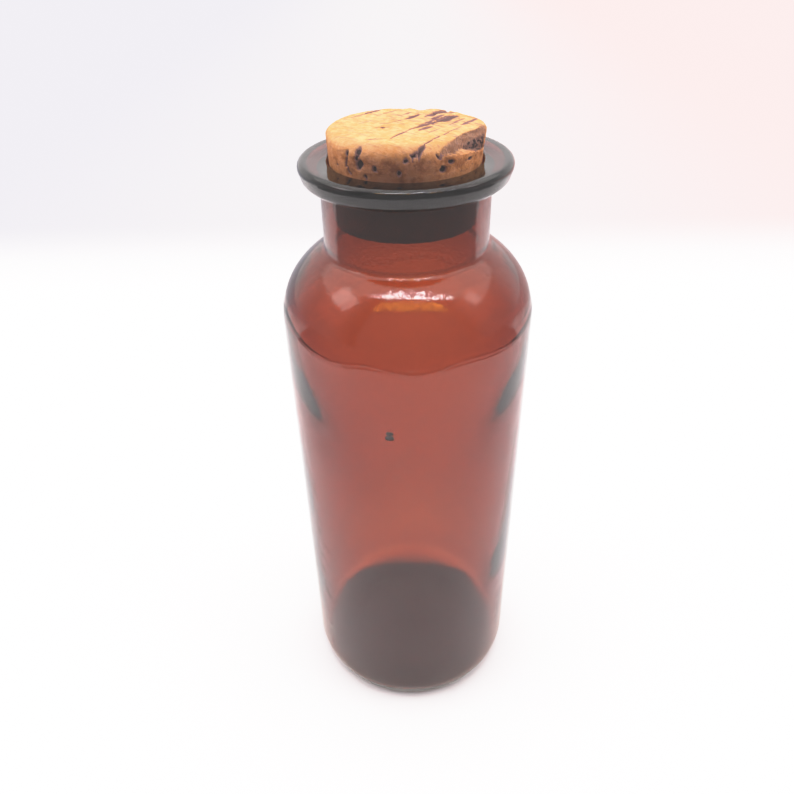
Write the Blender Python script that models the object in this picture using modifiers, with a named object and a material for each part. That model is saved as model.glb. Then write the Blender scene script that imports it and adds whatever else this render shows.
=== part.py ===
# Glass bottle with a cork stopper: an amber, wide-mouthed apothecary bottle, blown in one
# piece, and the natural cork that closes its mouth. Metres, +Z up. The origin is in the
# middle of the base, on the surface that the bottle stands on.

import math

import bmesh
import bpy
from mathutils import Vector

# Outside of the glass
GLASS_HEIGHT = 0.1674
BODY_RADIUS = 0.0320
BODY_HEIGHT = 0.1288          # base to the line where the shoulder starts
SHOULDER_RISE = 0.0227        # the shoulder is part of an ellipse this high at the axis
NECK_RADIUS = 0.0201
NECK_FILLET = 0.0012          # hollow between shoulder and neck
HEEL_RADIUS = 0.0052

# Lip: a flat ring round the mouth, a little wider at its top edge
LIP_THICKNESS = 0.0052
LIP_OVERHANG = 0.0052         # how far the ring stands out from the neck
LIP_UNDERCUT = 0.0016         # how much narrower the ring is at its lower edge
LIP_TOP_ROUNDING = 0.0014
LIP_LOWER_ROUNDING = 0.0024
LIP_FILLET = 0.0007           # hollow between the lip's underside and the neck
DISH_DEPTH = 0.0004           # the top of the lip dips this much towards the mouth

# Inside of the glass
MOUTH_WALL = 0.0023           # glass between the mouth and the outside of the neck
MOUTH_ROUNDING = 0.0007
BODY_WALL = 0.0018
SHOULDER_WALL = 0.0020
NECK_WALL = 0.0023
NECK_INNER_ROUNDING = 0.0040  # where the bore of the neck opens into the shoulder
BASE_THICKNESS = 0.0024
INNER_HEEL_RADIUS = 0.0042

# Underside: the bottle stands on a flat ring round a shallow hollow
RING_WIDTH = 0.0045           # the flat ring, from the heel's rounding to the hollow
HOLLOW_DEPTH = 0.0008
HOLLOW_SLOPE_WIDTH = 0.0070    # the hollow deepens over this width, then is flat
HOLLOW_ROUNDING = 0.0060

# Cork
CORK_CLEARANCE = 0.0003       # between the cork and the mouth, all round
CORK_STAND_OUT = 0.0064       # how far the cork stands above the lip
CORK_INSERTED = 0.0142        # how far it reaches below the top of the lip
CORK_TAPER_SHARE = 0.045      # loss of radius for each unit of length, going down
CORK_TOP_ROUNDING = 0.0014
CORK_FOOT_ROUNDING = 0.0005

# Chip broken from the cork's top edge, along a chord
CHIP_CHORD_SHARE = 0.835      # distance of the chord from the axis, of the top radius
CHIP_AZIMUTH = math.radians(-29)
CHIP_DEPTH = 0.0026           # below the cork's top, at the middle of the chord
CHIP_FALL = math.radians(9)   # the chip gets deeper towards one end
CHIP_FLARE = math.radians(-16)

# Smoothness of the round shapes
BOTTLE_SIDES = 60
CORK_SIDES = 48
ARC_STEPS = 3
HEEL_STEPS = 5
SHOULDER_STEPS = 9
ON_AXIS = 0.0
MERGE_DISTANCE = 0.00001

# Photographed colours, as linear values
AMBER = (0.40, 0.105, 0.035, 1.0)
CORK_TAN = (0.72, 0.42, 0.17, 1.0)


def clear_scene():
    for old in list(bpy.data.objects):
        bpy.data.objects.remove(old, do_unlink=True)


def collection(name):
    made = bpy.data.collections.new(name)
    bpy.context.scene.collection.children.link(made)
    return made


def material(name, colour, roughness, transmission=0.0):
    made = bpy.data.materials.new(name)
    made.use_nodes = True
    shader = made.node_tree.nodes["Principled BSDF"]
    shader.inputs["Base Color"].default_value = colour
    shader.inputs["Roughness"].default_value = roughness
    shader.inputs["Metallic"].default_value = 0.0
    shader.inputs["Transmission Weight"].default_value = transmission
    made.diffuse_color = colour
    return made


def rounded(corners):
    """Outline through (radius, height, rounding, steps) corners, rounded ones as arcs."""
    points = []
    for index, (r, z, rounding, steps) in enumerate(corners):
        corner = Vector((r, z))
        if rounding == 0:
            points.append(corner)
            continue
        before = (Vector(corners[index - 1][:2]) - corner).normalized()
        after = (Vector(corners[index + 1][:2]) - corner).normalized()
        half_angle = before.angle(after) / 2
        bisector = (before + after).normalized()
        centre = corner + bisector * (rounding / math.sin(half_angle))
        reach = rounding / math.tan(half_angle)
        start = corner + before * reach - centre
        end = corner + after * reach - centre
        turn = start.angle_signed(end)
        for step in range(steps + 1):
            angle = -turn * step / steps
            x = start.x * math.cos(angle) - start.y * math.sin(angle)
            y = start.x * math.sin(angle) + start.y * math.cos(angle)
            points.append(centre + Vector((x, y)))
    return points


def plain(r, z):
    return (r, z, 0, 0)


def ellipse_height(radius, rise, r):
    """Height at radius r of a quarter ellipse that starts at height 0 with its full radius."""
    return rise * math.sqrt(1 - (r / radius) ** 2)


def shoulder(radius, rise, base, neck, steps):
    """Points of the shoulder's curve from the body up towards the neck, both ends left out."""
    end_angle = math.acos(neck / radius)
    points = []
    for step in range(1, steps):
        angle = end_angle * step / steps
        points.append(plain(radius * math.cos(angle), base + rise * math.sin(angle)))
    return points


def mouth_radius():
    return NECK_RADIUS - MOUTH_WALL


def bottle_outline():
    """From the axis inside, up the inner wall, over the lip, down the outside to the axis."""
    inner_radius = BODY_RADIUS - BODY_WALL
    inner_rise = SHOULDER_RISE - SHOULDER_WALL
    bore_radius = NECK_RADIUS - NECK_WALL
    lip_radius = NECK_RADIUS + LIP_OVERHANG
    hollow_radius = BODY_RADIUS - HEEL_RADIUS - RING_WIDTH
    lip_bottom = GLASS_HEIGHT - LIP_THICKNESS
    mouth_top = GLASS_HEIGHT - DISH_DEPTH
    bore_top = lip_bottom - LIP_THICKNESS / 2
    inner_neck = BODY_HEIGHT + ellipse_height(inner_radius, inner_rise, bore_radius)
    outer_neck = BODY_HEIGHT + ellipse_height(BODY_RADIUS, SHOULDER_RISE, NECK_RADIUS)

    inside = [
        plain(ON_AXIS, BASE_THICKNESS),
        (inner_radius, BASE_THICKNESS, INNER_HEEL_RADIUS, HEEL_STEPS),
        plain(inner_radius, BODY_HEIGHT),
    ]
    inside += shoulder(inner_radius, inner_rise, BODY_HEIGHT, bore_radius, SHOULDER_STEPS)[:-2]
    inside += [
        (bore_radius, inner_neck, NECK_INNER_ROUNDING, ARC_STEPS),
        plain(bore_radius, bore_top),
        plain(mouth_radius(), lip_bottom),
    ]
    lip = [
        (mouth_radius(), mouth_top, MOUTH_ROUNDING, ARC_STEPS),
        plain(lip_radius - 2 * LIP_TOP_ROUNDING, GLASS_HEIGHT),
        (lip_radius, GLASS_HEIGHT, LIP_TOP_ROUNDING, ARC_STEPS + 1),
        (lip_radius - LIP_UNDERCUT, lip_bottom, LIP_LOWER_ROUNDING, ARC_STEPS),
        (NECK_RADIUS, lip_bottom, LIP_FILLET, ARC_STEPS),
    ]
    outside = [(NECK_RADIUS, outer_neck, NECK_FILLET, ARC_STEPS)]
    outer_shoulder = shoulder(
        BODY_RADIUS, SHOULDER_RISE, BODY_HEIGHT, NECK_RADIUS, SHOULDER_STEPS)
    outside += reversed(outer_shoulder)
    outside += [
        plain(BODY_RADIUS, BODY_HEIGHT),
        (BODY_RADIUS, 0, HEEL_RADIUS, HEEL_STEPS),
        plain(hollow_radius, 0),
        (hollow_radius - HOLLOW_SLOPE_WIDTH, HOLLOW_DEPTH, HOLLOW_ROUNDING, ARC_STEPS),
        plain(ON_AXIS, HOLLOW_DEPTH),
    ]
    return rounded(inside + lip + outside)


def cork_radius(height):
    """Radius of the tapered cork at a height above the top of the lip."""
    return mouth_radius() - CORK_CLEARANCE + CORK_TAPER_SHARE * height


def cork_outline():
    """From the axis at the top, down the side, to the axis at the foot."""
    length = CORK_STAND_OUT + CORK_INSERTED
    return rounded([
        plain(ON_AXIS, length),
        (cork_radius(CORK_STAND_OUT), length, CORK_TOP_ROUNDING, ARC_STEPS + 1),
        (cork_radius(-CORK_INSERTED), 0, CORK_FOOT_ROUNDING, ARC_STEPS - 1),
        plain(ON_AXIS, 0),
    ])


def turned(name, outline, sides, finish, home):
    """Object made by turning an outline of (radius, height) points round the Z axis."""
    mesh = bpy.data.meshes.new(name)
    shape = bmesh.new()
    ends = [shape.verts.new((point.x, 0, point.y)) for point in outline]
    for upper, lower in zip(ends, ends[1:]):
        shape.edges.new((upper, lower))
    shape.to_mesh(mesh)
    shape.free()
    mesh.materials.append(finish)
    made = bpy.data.objects.new(name, mesh)
    home.objects.link(made)
    screw = made.modifiers.new("Turn", 'SCREW')
    screw.axis = 'Z'
    screw.angle = math.tau
    screw.steps = sides
    screw.render_steps = sides
    screw.use_merge_vertices = True
    screw.merge_threshold = MERGE_DISTANCE
    screw.use_smooth_shade = True
    return made


def chip_cutter(home):
    """Block over the part of the cork's top edge that has broken away."""
    top_radius = cork_radius(CORK_STAND_OUT)
    chord = top_radius * CHIP_CHORD_SHARE
    size = Vector((top_radius, 2 * top_radius, top_radius))
    mesh = bpy.data.meshes.new("chip_cutter")
    shape = bmesh.new()
    bmesh.ops.create_cube(shape, size=1)
    bmesh.ops.scale(shape, vec=size, verts=shape.verts)
    bmesh.ops.translate(shape, vec=(size.x / 2, 0, size.z / 2), verts=shape.verts)
    shape.to_mesh(mesh)
    shape.free()
    cutter = bpy.data.objects.new("chip_cutter", mesh)
    home.objects.link(cutter)
    out = Vector((math.cos(CHIP_AZIMUTH), math.sin(CHIP_AZIMUTH), 0))
    top = GLASS_HEIGHT + CORK_STAND_OUT
    cutter.location = out * chord + Vector((0, 0, top - CHIP_DEPTH))
    cutter.rotation_euler = (-CHIP_FALL, CHIP_FLARE, CHIP_AZIMUTH)
    cutter.hide_render = True
    cutter.display_type = 'WIRE'
    return cutter


def build():
    clear_scene()
    parts = collection("glass_bottle")
    cutters = collection("cutters")
    amber = material("amber_glass", AMBER, 0.04, 0.9)
    tan = material("natural_cork", CORK_TAN, 0.85)

    turned("bottle", bottle_outline(), BOTTLE_SIDES, amber, parts)

    cork = turned("cork_stopper", cork_outline(), CORK_SIDES, tan, parts)
    cork.location.z = GLASS_HEIGHT - CORK_INSERTED
    chip = cork.modifiers.new("Chip", 'BOOLEAN')
    chip.operation = 'DIFFERENCE'
    chip.solver = 'EXACT'
    chip.object = chip_cutter(cutters)


build()
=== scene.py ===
import math

import bpy
import numpy as np
from mathutils import Matrix, Vector, noise


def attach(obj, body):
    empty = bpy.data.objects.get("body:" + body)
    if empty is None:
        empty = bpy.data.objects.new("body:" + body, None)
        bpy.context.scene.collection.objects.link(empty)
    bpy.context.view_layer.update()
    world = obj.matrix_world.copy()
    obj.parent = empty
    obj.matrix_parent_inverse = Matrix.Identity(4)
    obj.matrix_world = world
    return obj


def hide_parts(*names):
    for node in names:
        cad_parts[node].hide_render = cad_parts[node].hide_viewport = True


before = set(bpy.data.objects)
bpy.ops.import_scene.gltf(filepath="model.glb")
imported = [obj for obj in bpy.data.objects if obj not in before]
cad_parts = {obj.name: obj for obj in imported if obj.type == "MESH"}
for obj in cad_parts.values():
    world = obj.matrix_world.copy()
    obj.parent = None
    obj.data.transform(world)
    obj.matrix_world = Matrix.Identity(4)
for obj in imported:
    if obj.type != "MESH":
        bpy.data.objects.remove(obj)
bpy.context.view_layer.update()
mm = 0.001
print("frame loaded:", sorted(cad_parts))


# node trees

def newMaterial(name):
    made = bpy.data.materials.new(name)
    made.use_nodes = True
    made.node_tree.nodes.clear()
    return made, made.node_tree


def addNode(tree, kind, x=0, y=0, inputs=None, **settings):
    made = tree.nodes.new(kind)
    made.location = (x, y)
    for key, value in settings.items():
        setattr(made, key, value)
    for socket, value in (inputs or {}).items():
        feed(tree, value, made.inputs[socket])
    return made


def feed(tree, value, socket):
    # a socket takes either a plain value or another node's output
    if isinstance(value, bpy.types.NodeSocket):
        tree.links.new(value, socket)
    else:
        socket.default_value = value


def mathNode(tree, operation, first, second=0.0, x=0, y=0, clamp=False):
    made = addNode(tree, "ShaderNodeMath", x, y, operation=operation, use_clamp=clamp,
                   inputs={0: first, 1: second})
    return made.outputs[0]


def ramp(tree, value, low, high, x=0, y=0, start=0.0, end=1.0):
    # smooth step of a value from start to end
    made = addNode(tree, "ShaderNodeMapRange", x, y, interpolation_type='SMOOTHSTEP', inputs={
        "Value": value, "From Min": low, "From Max": high, "To Min": start, "To Max": end})
    return made.outputs[0]


def mixColour(tree, factor, first, second, x=0, y=0, blend='MIX'):
    made = addNode(tree, "ShaderNodeMix", x, y, data_type='RGBA', blend_type=blend,
                   inputs={0: factor, 6: first, 7: second})
    return made.outputs[2]


# one group for every grain and ripple: noise that can be stretched along one direction
def makeMottleGroup():
    group = bpy.data.node_groups.new("mottle", "ShaderNodeTree")
    face = group.interface
    face.new_socket(name="Vector", in_out='INPUT', socket_type='NodeSocketVector')
    for name, value in (("Scale", 1000.0), ("Detail", 2.0), ("Turn", 0.0),
                        ("Stretch", 1.0), ("Low", 0.3), ("High", 0.7)):
        made = face.new_socket(name=name, in_out='INPUT', socket_type='NodeSocketFloat')
        made.default_value = value
    face.new_socket(name="Mask", in_out='OUTPUT', socket_type='NodeSocketFloat')
    start = addNode(group, "NodeGroupInput", -900, 0)
    end = addNode(group, "NodeGroupOutput", 500, 0)
    turned = addNode(group, "ShaderNodeVectorRotate", -700, 0, rotation_type='Z_AXIS', inputs={
        "Vector": start.outputs["Vector"], "Angle": start.outputs["Turn"]})
    squeeze = addNode(group, "ShaderNodeCombineXYZ", -700, -250, inputs={
        0: 1.0, 1: start.outputs["Stretch"], 2: 1.0})
    stretched = addNode(group, "ShaderNodeVectorMath", -450, 0, operation='MULTIPLY', inputs={
        0: turned.outputs[0], 1: squeeze.outputs[0]})
    texture = addNode(group, "ShaderNodeTexNoise", -200, 0, inputs={
        "Vector": stretched.outputs[0], "Scale": start.outputs["Scale"],
        "Detail": start.outputs["Detail"], "Roughness": 0.55})
    mask = addNode(group, "ShaderNodeMapRange", 100, 0, interpolation_type='SMOOTHSTEP', inputs={
        "Value": texture.outputs[0], "From Min": start.outputs["Low"],
        "From Max": start.outputs["High"]})
    feed(group, mask.outputs[0], end.inputs["Mask"])
    return group


mottleGroup = makeMottleGroup()


def mottle(tree, vector, scale, x=0, y=0, detail=2.0, turn=0.0, stretch=1.0, low=0.3, high=0.7):
    made = addNode(tree, "ShaderNodeGroup", x, y)
    made.node_tree = mottleGroup
    for name, value in (("Vector", vector), ("Scale", scale), ("Detail", detail),
                        ("Turn", turn), ("Stretch", stretch), ("Low", low), ("High", high)):
        feed(tree, value, made.inputs[name])
    return made.outputs["Mask"]


# meshes

def turnedMesh(name, rings, firstPole, lastPole):
    # rings is an array of rows, sides and x y z; the poles close both ends on the axis
    rows, sides = rings.shape[:2]
    row = np.arange(rows - 1)[:, None] * sides
    here = np.arange(sides)[None, :]
    following = (here + 1) % sides
    quads = np.stack([row + here, row + sides + here, row + sides + following,
                      row + following], -1).reshape(-1, 4).tolist()
    count = rows * sides
    caps = [(count, k, (k + 1) % sides) for k in range(sides)]
    last = count - sides
    caps += [(count + 1, last + (k + 1) % sides, last + k) for k in range(sides)]
    verts = np.concatenate([rings.reshape(-1, 3), [firstPole, lastPole]])
    mesh = bpy.data.meshes.new(name)
    mesh.from_pydata(verts.tolist(), [], quads + caps)
    mesh.polygons.foreach_set("use_smooth", [True] * len(mesh.polygons))
    mesh.update()
    return mesh


def meshArrays(mesh):
    count = len(mesh.vertices)
    points, normals = np.zeros(count * 3), np.zeros(count * 3)
    mesh.vertices.foreach_get("co", points)
    mesh.vertices.foreach_get("normal", normals)
    return points.reshape(-1, 3), normals.reshape(-1, 3)


def setPoints(mesh, points):
    mesh.vertices.foreach_set("co", points.ravel())
    mesh.update()


def noiseAt(points, size, octaves=2, seed=0.0):
    # smooth noise from -1 to 1 at each point, size in millimetres; the seed shifts the place
    shift = Vector((seed, 2.3 * seed, -1.7 * seed))
    fading, finer = 0.6, 2.0      # how fast the octaves fade, and how much finer each one is
    return np.array([noise.fractal(Vector(p) / (size * mm) + shift, fading, finer, octaves)
                     for p in points])


def bell(value, centre, width):
    return np.exp(-((value - centre) / width) ** 2)


def smoothStep(value, low, high):
    t = np.clip((value - low) / (high - low), 0, 1)
    return t * t * (3 - 2 * t)


def showPiece(name, mesh, material, body, slotName, *nodes):
    mesh.materials.append(material)
    made = bpy.data.objects.new(name, mesh)
    bpy.context.scene.collection.objects.link(made)
    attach(made, body)
    if nodes:
        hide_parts(*nodes)


# the camera stands where the photograph was taken

cameraPlace = {
    "distance": 162.335 * mm,     # in front of the bottle's axis
    "height": 215.885 * mm,
    "pitch": 0.6215135,           # angles in radians
    "yaw": -0.0200470,
    "roll": -0.0242834,
    "lens": 31.922,
    "sensor": 36,
    "nearest": 0.005,             # what lies nearer or further than these isn't seen
    "furthest": 50,
}


def makeCamera(place):
    data = bpy.data.cameras.new("camera")
    made = bpy.data.objects.new("camera", data)
    bpy.context.scene.collection.objects.link(made)
    cosPitch, sinPitch = math.cos(place["pitch"]), math.sin(place["pitch"])
    cosYaw, sinYaw = math.cos(place["yaw"]), math.sin(place["yaw"])
    cosRoll, sinRoll = math.cos(place["roll"]), math.sin(place["roll"])
    forward = Vector((sinYaw * cosPitch, cosYaw * cosPitch, -sinPitch))
    right = Vector((cosYaw, -sinYaw, 0))
    up = right.cross(forward)
    side = cosRoll * right + sinRoll * up
    top = -sinRoll * right + cosRoll * up
    turn = Matrix((side, top, -forward)).transposed().to_4x4()
    turn.translation = Vector((0, -place["distance"], place["height"]))
    made.matrix_world = turn
    data.lens = place["lens"]
    data.sensor_width = place["sensor"]
    data.clip_start = place["nearest"]
    data.clip_end = place["furthest"]
    bpy.context.scene.camera = made


makeCamera(cameraPlace)
print("camera placed")


# the bottle, all in millimetres

bottleShape = {
    "glassHeight": 167.4, "bodyRadius": 32.0, "bodyHeight": 128.8, "shoulderRise": 22.7,
    "neckRadius": 20.1, "neckFillet": 1.2, "heelRadius": 5.2, "heelHeight": 9.0,
    "lipThickness": 5.2, "lipOverhang": 5.2, "lipUndercut": 1.6, "lipTopRounding": 1.4,
    "lipLowerRounding": 2.4, "lipFillet": 0.7, "dishDepth": 0.4,
    "mouthWall": 2.3, "mouthRounding": 0.7, "bodyWall": 1.8, "shoulderWall": 1.5,
    "neckWall": 1.95, "neckInnerRounding": 2.8, "baseThickness": 2.4,
    "innerHeelShare": 0.8,        # the inner heel's rounding, as a share of the outer one
    "collarWidth": 0.94, "collarSlope": 0.76,
    "ringWidth": 4.5, "hollowDepth": 0.8, "hollowSlopeWidth": 7.0, "hollowRounding": 6.0,
    # how finely it is cut: sides round the axis, over how many of them the heel's rounding is
    # blended, and rows along the section
    "sides": 360, "heelBlend": 17,
    "floorRows": (6.0, 12.0, 18.0), "hollowRows": (12.0, 8.0, 4.0),
    "innerRows": (10, 120, 56), "outerRows": (120, 11, 44),
    "lapRowsFrom": 122.0, "lapRowGap": 0.4,
    "innerShoulderRows": 40, "innerShoulderLeftOut": 8, "outerShoulderRows": 160,
    "boreRows": 5, "boreClear": 4.2,
    "neckRows": 8, "neckClearAbove": 1.6, "neckClearBelow": 2.4,
    "collarRows": (0.36, 0.30, 0.24, 0.18, 0.10, 0.02), "collarClear": 0.04,
}

# the heel is not quite even: its rounding at azimuths round the bottle, in degrees and mm
heelRounding = (
    (0, 3.4), (15, 2.8), (30, 2.3), (46, 2.5), (60, 4.5), (74, 6.6), (90, 7.4), (106, 6.6),
    (120, 4.5), (134, 2.4), (150, 2.0), (165, 1.9), (180, 2.2), (195, 3.0), (210, 4.0),
    (270, 4.4), (330, 4.4), (360, 3.4),
)

# where the glass ran thicker inside, all in degrees and mm: the azimuth at that height and
# how it moves for each millimetre down, spreads, and the extra wall
heavyGlass = [
    {"azimuth": 211, "drift": 1.0, "height": 109, "spread": 15, "reach": 6, "extra": 0.5},
    {"azimuth": 329, "drift": -1.0, "height": 110, "spread": 15, "reach": 6, "extra": 0.55},
    {"azimuth": 222, "drift": 0.3, "height": 104, "spread": 24, "reach": 16, "extra": 0.5},
    {"azimuth": 318, "drift": -0.3, "height": 104, "spread": 24, "reach": 16, "extra": 0.5},
    {"azimuth": 337, "drift": 0.0, "height": 47, "spread": 18, "reach": 8, "extra": 0.45},
    {"azimuth": 90, "drift": 0.0, "height": 18, "spread": 60, "reach": 20, "extra": -0.3},
    {"azimuth": 180, "drift": 0.0, "height": 75, "spread": 26, "reach": 70, "extra": 0.4},
    {"azimuth": 0, "drift": 0.0, "height": 75, "spread": 26, "reach": 70, "extra": 0.4},
    {"azimuth": 100, "drift": 0.0, "height": 80, "spread": 40, "reach": 40, "extra": 0.3},
]

# wavy lap line where the shoulder meets the body: azimuth in degrees, height in mm
lapLine = (
    (0, 131.5), (20, 130.2), (50, 128.4), (75, 129.8), (100, 128.2), (130, 130.2),
    (160, 131.0), (198, 133.4), (205, 132.6), (215, 131.0), (225, 129.6), (236, 128.9),
    (246, 129.6), (252, 130.2), (258, 129.9), (265, 128.9), (272, 128.3), (281, 128.8),
    (289, 130.2), (297, 130.4), (307, 130.0), (318, 129.7), (330, 130.6), (345, 131.8),
    (360, 131.5),
)

# the inner wall's waves, its step at the lap line, and the lap's two ridges outside, in mm;
# pairs of heights are where an effect starts or ends and where it is full
unevenGlass = {
    "waveSize": 24, "waveHeight": 0.08,
    "innerFrom": (8, 22), "innerTo": (138, 146), "innerRadius": 20,
    "lapHalf": 0.5, "lapInside": 0.15, "lapOutside": 0.10,
    "outerFrom": (115, 122), "outerTo": (132, 139.5),
    "ridges": ((0.12, 0.0), (0.10, 1.1)),      # height, and how far below the line
    "ridgeWidth": 0.38,
    "ridgeAtBack": 0.15, "ridgeFront": (0.55, 0.9),
}


def arcCorners(corners):
    # outline through (radius, height, rounding, steps); rounded corners become arcs
    points = []
    for index, (r, z, rounding, steps) in enumerate(corners):
        corner = Vector((r, z))
        if rounding == 0:
            points.append(corner)
            continue
        before = (Vector(corners[index - 1][:2]) - corner).normalized()
        after = (Vector(corners[index + 1][:2]) - corner).normalized()
        half = before.angle(after) / 2
        centre = corner + (before + after).normalized() * (rounding / math.sin(half))
        reach = rounding / math.tan(half)
        start = corner + before * reach - centre
        turn = start.angle_signed(corner + after * reach - centre)
        for step in range(steps + 1):
            angle = -turn * step / steps
            points.append(centre + Vector((
                start.x * math.cos(angle) - start.y * math.sin(angle),
                start.x * math.sin(angle) + start.y * math.cos(angle))))
    return points


def ellipseArc(radius, rise, base, neck, steps):
    end = math.acos(neck / radius)
    return [(radius * math.cos(end * k / steps), base + rise * math.sin(end * k / steps), 0, 0)
            for k in range(1, steps)]


def bottleOutline(s):
    # half section from inside the base, up over the lip and down to the hollow underneath,
    # and how many of its points belong to the cavity
    innerRadius = s["bodyRadius"] - s["bodyWall"]
    innerRise = s["shoulderRise"] - s["shoulderWall"]
    innerHeel = s["innerHeelShare"] * s["heelRadius"]
    bore = s["neckRadius"] - s["neckWall"]
    mouth = s["neckRadius"] - s["mouthWall"]
    lip = s["neckRadius"] + s["lipOverhang"]
    hollow = s["bodyRadius"] - s["heelRadius"] - s["ringWidth"]
    lipBottom = s["glassHeight"] - s["lipThickness"]
    boreTop = lipBottom - s["lipThickness"] / 2
    innerNeck = s["bodyHeight"] + innerRise * math.sqrt(1 - (bore / innerRadius) ** 2)
    # a narrow cone leads from the shoulder up to the neck's fillet
    collar = s["neckRadius"] + s["collarWidth"]
    collarFoot = s["bodyHeight"] + s["shoulderRise"] * math.sqrt(
        1 - (collar / s["bodyRadius"]) ** 2)
    outerNeck = collarFoot + s["collarSlope"] * s["collarWidth"]
    # rows lie close together where the lap line runs
    lapRows = list(np.arange(s["lapRowsFrom"], s["bodyHeight"], s["lapRowGap"]))

    inside = [(r, s["baseThickness"], 0, 0) for r in s["floorRows"]]
    inside += [(innerRadius, s["baseThickness"], innerHeel, 14)]
    inside += [(innerRadius, z, 0, 0) for z in list(np.linspace(*s["innerRows"])) + lapRows]
    inside += ellipseArc(innerRadius, innerRise, s["bodyHeight"], bore,
                         s["innerShoulderRows"])[:-s["innerShoulderLeftOut"]]
    inside += [(bore, innerNeck, s["neckInnerRounding"], 10)]
    inside += [(bore, z, 0, 0)
               for z in np.linspace(innerNeck + s["boreClear"], boreTop, s["boreRows"])]
    inside += [(mouth, lipBottom, 0, 0)]
    lipPoints = [
        (mouth, s["glassHeight"] - s["dishDepth"], s["mouthRounding"], 6),
        (lip - 2 * s["lipTopRounding"], s["glassHeight"], 0, 0),
        (lip, s["glassHeight"], s["lipTopRounding"], 12),
        (lip - s["lipUndercut"], lipBottom, s["lipLowerRounding"], 10),
        (s["neckRadius"], lipBottom, s["lipFillet"], 8),
    ]
    outside = [(s["neckRadius"], z, 0, 0) for z in np.linspace(
        lipBottom - s["neckClearAbove"], outerNeck + s["neckClearBelow"], s["neckRows"])]
    outside += [(s["neckRadius"], outerNeck, s["neckFillet"], 14)]
    outside += [(collar - up, collarFoot + up * s["collarSlope"], 0, 0)
                for up in s["collarRows"]]
    outside += reversed(ellipseArc(
        s["bodyRadius"], s["shoulderRise"], s["bodyHeight"], collar + s["collarClear"],
        s["outerShoulderRows"]))
    outside += [(s["bodyRadius"], z, 0, 0)
                for z in lapRows[::-1] + list(np.linspace(*s["outerRows"]))]
    outside += [
        (s["bodyRadius"], 0, s["heelRadius"], 14),
        (hollow, 0, 0, 0),
        (hollow - s["hollowSlopeWidth"], s["hollowDepth"], s["hollowRounding"], 6),
    ]
    outside += [(r, s["hollowDepth"], 0, 0) for r in s["hollowRows"]]
    innerCount = len(arcCorners(inside + lipPoints[:2]))
    return arcCorners(inside + lipPoints + outside), innerCount


def bottleMesh(s, heelTable, uneven, heavy, lapTable):
    sides = s["sides"]
    angles = np.arange(sides) * (360 / sides)
    # the heel's rounding changes gradually from place to place
    blend, half = s["heelBlend"], s["heelBlend"] // 2
    heels = np.interp(np.arange(-half, sides + half) * (360 / sides) % 360, *zip(*heelTable))
    heels = np.convolve(heels, np.ones(blend) / blend, mode="valid")
    hair = 0.001
    columns = []
    for heel in heels:
        outline, innerCount = bottleOutline(s | {
            "heelRadius": heel, "ringWidth": s["ringWidth"] + s["heelRadius"] - heel})
        # the heel's arc is drawn out upwards
        rise = s["heelHeight"] / heel
        foot = s["bodyRadius"] - heel
        columns.append([
            (p.x, p.y * rise if k > innerCount and p.y < heel + hair and p.x > foot else p.y)
            for k, p in enumerate(outline)])
    r, z = np.array(columns).transpose(2, 1, 0)
    phi = np.repeat(np.radians(angles)[None, :], len(r), 0)

    # the cavity is uneven: soft waves, heavy spots and a wavy step at the lap line
    inner = np.zeros_like(r)
    inner[:innerCount] = 1
    inBody = (inner * smoothStep(z, *uneven["innerFrom"])
              * (1 - smoothStep(z, *uneven["innerTo"])) * (r > uneven["innerRadius"]))
    acrossX, acrossY = s["bodyRadius"] * np.cos(phi[0]), s["bodyRadius"] * np.sin(phi[0])
    waves = np.array([noiseAt(np.stack([acrossX, acrossY, row], -1) * mm, uneven["waveSize"],
                              1, seed=7.0) for row in z])
    line = np.interp(angles, *zip(*lapTable))[None, :]
    lap = smoothStep(z, line - uneven["lapHalf"], line + uneven["lapHalf"])
    extra = uneven["waveHeight"] * waves + uneven["lapInside"] * lap
    for spot in heavy:
        turn = angles[None, :] - spot["azimuth"] - spot["drift"] * (spot["height"] - z)
        turn = (turn + 180) % 360 - 180
        extra += spot["extra"] * bell(turn, 0, spot["spread"]) * bell(
            z, spot["height"], spot["reach"])

    # outside, the lap is a small step with two fine ridges that show most in front
    outBody = ((1 - inner) * smoothStep(z, *uneven["outerFrom"])
               * (1 - smoothStep(z, *uneven["outerTo"])))
    ridge = sum(height * bell(z, line - below, uneven["ridgeWidth"])
                for height, below in uneven["ridges"])
    front = smoothStep(-np.sin(phi), *uneven["ridgeFront"])
    ridge = ridge * (uneven["ridgeAtBack"] + (1 - uneven["ridgeAtBack"]) * front)
    ridge = ridge - uneven["lapOutside"] * lap
    r = r - inBody * extra + outBody * ridge
    rings = np.stack([r * np.cos(phi), r * np.sin(phi), z], -1) * mm
    return turnedMesh("bottle_glass", rings, (0, 0, s["baseThickness"] * mm),
                      (0, 0, s["hollowDepth"] * mm))


amberGlass = {
    "absorbColour": (0.745, 0.39, 0.05, 1),
    "absorbDensity": 1460.0,
    "ior": 1.49,
    "roughness": 0.025,
    "peelScale": 1500.0,          # orange peel on the fire-polished shoulder
    "peelHeight": 0.000009,
    "peelFrom": (0.128, 0.138),   # height above the table where it sets in
    "rippleScale": 130.0,         # slow ripples all over
    "rippleHeight": 0.00004,
}


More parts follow.
